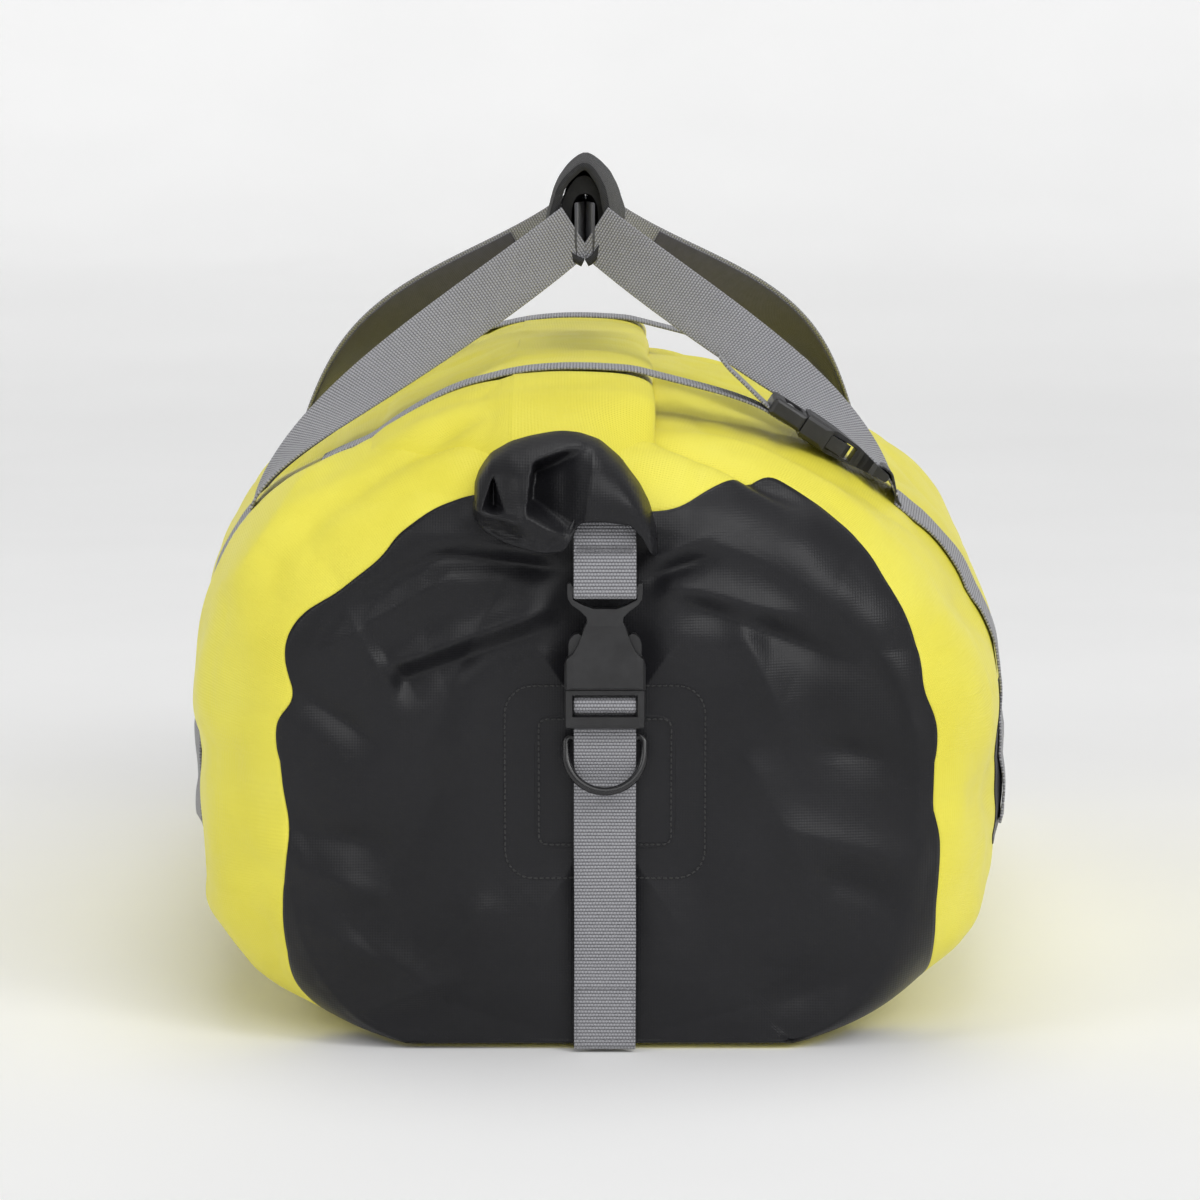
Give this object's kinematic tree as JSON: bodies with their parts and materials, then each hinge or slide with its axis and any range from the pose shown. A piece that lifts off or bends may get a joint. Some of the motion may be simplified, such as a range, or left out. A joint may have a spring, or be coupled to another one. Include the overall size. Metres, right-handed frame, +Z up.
{
  "type": "dry bag",
  "caption": "Roll-top dry duffel: coated tube with rolled mouth along the top, buckled end straps, straps across the roll and paired webbing handles.",
  "frame": {"origin": "on the floor under the middle of the bag", "axes": "+Z up, +Y along the bag from the front end panel to the rear one, +X across it to the side where the cross straps buckle"},
  "size_m": [0.3579, 0.5624, 0.3511],
  "materials": {
    "yellow_tarpaulin": "satin coated",
    "black_tarpaulin": "satin coated",
    "grey_webbing": "woven",
    "black_webbing": "woven",
    "dark_lining": "smooth woven",
    "buckle_plastic": "fine grain",
    "ring_plastic": "gloss",
    "stiffener_plastic": "plain",
    "grip_fabric": "woven",
    "foam": "closed cell foam",
    "hook_tape": "hooks",
    "loop_tape": "loops"
  },
  "bodies": {
    "bag": {"body_tube": "yellow_tarpaulin", "mouth_roll": "yellow_tarpaulin", "lip_stiffener": "stiffener_plastic", "front_end_panel": "black_tarpaulin", "front_roll_end": "black_tarpaulin", "front_outer_patch": "black_tarpaulin", "front_inner_patch": "black_tarpaulin", "front_closure_strap": "grey_webbing", "front_d_ring_loop": "grey_webbing", "front_buckle_male": "buckle_plastic", "front_left_leg": "grey_webbing", "front_right_leg": "grey_webbing", "front_left_lining": "dark_lining", "front_right_lining": "dark_lining", "rear_end_panel": "black_tarpaulin", "rear_roll_end": "black_tarpaulin", "rear_outer_patch": "black_tarpaulin", "rear_inner_patch": "black_tarpaulin", "rear_closure_strap": "grey_webbing", "rear_d_ring_loop": "grey_webbing", "rear_buckle_male": "buckle_plastic", "rear_left_leg": "grey_webbing", "rear_right_leg": "grey_webbing", "rear_left_lining": "dark_lining", "rear_right_lining": "dark_lining", "fore_cross_strap": "grey_webbing", "fore_cross_female": "buckle_plastic", "fore_cross_anchor": "black_webbing", "aft_cross_strap": "grey_webbing", "aft_cross_female": "buckle_plastic", "aft_cross_anchor": "black_webbing", "left_handle_base": "grey_webbing", "right_handle_base": "grey_webbing", "left_side_patches": "black_tarpaulin", "right_side_patches": "black_tarpaulin"},
    "front_d_ring": {"front_d_ring": "ring_plastic"},
    "front_buckle_female": {"front_buckle_female": "buckle_plastic", "front_buckle_loop": "grey_webbing"},
    "front_buckle_right_arm": {"front_buckle_right_arm": "buckle_plastic"},
    "front_buckle_left_arm": {"front_buckle_left_arm": "buckle_plastic"},
    "rear_d_ring": {"rear_d_ring": "ring_plastic"},
    "rear_buckle_female": {"rear_buckle_female": "buckle_plastic", "rear_buckle_loop": "grey_webbing"},
    "rear_buckle_right_arm": {"rear_buckle_right_arm": "buckle_plastic"},
    "rear_buckle_left_arm": {"rear_buckle_left_arm": "buckle_plastic"},
    "fore_cross_male": {"fore_cross_male": "buckle_plastic"},
    "fore_cross_right_arm": {"fore_cross_right_arm": "buckle_plastic"},
    "fore_cross_left_arm": {"fore_cross_left_arm": "buckle_plastic"},
    "aft_cross_male": {"aft_cross_male": "buckle_plastic"},
    "aft_cross_right_arm": {"aft_cross_right_arm": "buckle_plastic"},
    "aft_cross_left_arm": {"aft_cross_left_arm": "buckle_plastic"},
    "grip": {"grip_cover": "grip_fabric", "grip_foam": "foam", "left_grip_web": "grey_webbing", "right_grip_web": "grey_webbing", "loop_strip": "loop_tape"},
    "grip_flap": {"grip_flap": "grip_fabric", "hook_strip": "hook_tape"}
  },
  "joints": [
    {"name": "front_d_ring_swing", "type": "hinge", "parent": "bag", "child": "front_d_ring", "pos_m": [0.002, -0.26555, 0.13], "axis": [-1, 0, 0], "range_deg": [0, 65]},
    {"name": "front_buckle_release", "type": "slide", "parent": "bag", "child": "front_buckle_female", "axis": [0, 0, 1], "range_m": [0, 0.026]},
    {"name": "front_right_squeeze", "type": "hinge", "parent": "bag", "child": "front_buckle_right_arm", "pos_m": [0.013, -0.2732, 0.1512], "axis": [0, -1, 0], "range_deg": [0, 8], "stiffness_Nm_per_rad": 0.02},
    {"name": "front_left_squeeze", "type": "hinge", "parent": "bag", "child": "front_buckle_left_arm", "pos_m": [-0.009, -0.2732, 0.1512], "axis": [0, 1, 0], "range_deg": [0, 8], "stiffness_Nm_per_rad": 0.02},
    {"name": "rear_d_ring_swing", "type": "hinge", "parent": "bag", "child": "rear_d_ring", "pos_m": [0.002, 0.26555, 0.13], "axis": [1, 0, 0], "range_deg": [0, 65]},
    {"name": "rear_buckle_release", "type": "slide", "parent": "bag", "child": "rear_buckle_female", "axis": [0, 0, 1], "range_m": [0, 0.026]},
    {"name": "rear_right_squeeze", "type": "hinge", "parent": "bag", "child": "rear_buckle_right_arm", "pos_m": [0.013, 0.2732, 0.1512], "axis": [0, -1, 0], "range_deg": [0, 8], "stiffness_Nm_per_rad": 0.02},
    {"name": "rear_left_squeeze", "type": "hinge", "parent": "bag", "child": "rear_buckle_left_arm", "pos_m": [-0.009, 0.2732, 0.1512], "axis": [0, 1, 0], "range_deg": [0, 8], "stiffness_Nm_per_rad": 0.02},
    {"name": "fore_cross_release", "type": "slide", "parent": "bag", "child": "fore_cross_male", "axis": [-0.8387, 0, 0.5446], "range_m": [0, 0.026], "deforming": ["fore_cross_strap"]},
    {"name": "fore_cross_right_squeeze", "type": "hinge", "parent": "fore_cross_male", "child": "fore_cross_right_arm", "pos_m": [0.08617, -0.161, 0.24639], "axis": [0.5446, 0, 0.8387], "range_deg": [0, 8], "stiffness_Nm_per_rad": 0.02},
    {"name": "fore_cross_left_squeeze", "type": "hinge", "parent": "fore_cross_male", "child": "fore_cross_left_arm", "pos_m": [0.08617, -0.139, 0.24639], "axis": [-0.5446, 0, -0.8387], "range_deg": [0, 8], "stiffness_Nm_per_rad": 0.02},
    {"name": "aft_cross_release", "type": "slide", "parent": "bag", "child": "aft_cross_male", "axis": [-0.8387, 0, 0.5446], "range_m": [0, 0.026], "deforming": ["aft_cross_strap"]},
    {"name": "aft_cross_right_squeeze", "type": "hinge", "parent": "aft_cross_male", "child": "aft_cross_right_arm", "pos_m": [0.08617, 0.139, 0.24639], "axis": [0.5446, 0, 0.8387], "range_deg": [0, 8], "stiffness_Nm_per_rad": 0.02},
    {"name": "aft_cross_left_squeeze", "type": "hinge", "parent": "aft_cross_male", "child": "aft_cross_left_arm", "pos_m": [0.08617, 0.161, 0.24639], "axis": [-0.5446, 0, -0.8387], "range_deg": [0, 8], "stiffness_Nm_per_rad": 0.02},
    {"name": "handle_drop", "type": "slide", "parent": "bag", "child": "grip", "axis": [0, 0, -1], "range_m": [0, 0.028], "deforming": ["front_left_leg", "front_right_leg", "front_left_lining", "front_right_lining", "rear_left_leg", "rear_right_leg", "rear_left_lining", "rear_right_lining"]},
    {"name": "grip_flap_open", "type": "hinge", "parent": "grip", "child": "grip_flap", "pos_m": [-0.0137, 0, 0.3467], "axis": [0, 1, 0], "range_deg": [0, 110]}
  ],
  "couplings": [
    {"joint": "front_left_squeeze", "follows": "front_right_squeeze", "ratio": 1},
    {"joint": "rear_left_squeeze", "follows": "rear_right_squeeze", "ratio": 1},
    {"joint": "fore_cross_left_squeeze", "follows": "fore_cross_right_squeeze", "ratio": 1},
    {"joint": "aft_cross_left_squeeze", "follows": "aft_cross_right_squeeze", "ratio": 1}
  ]
}
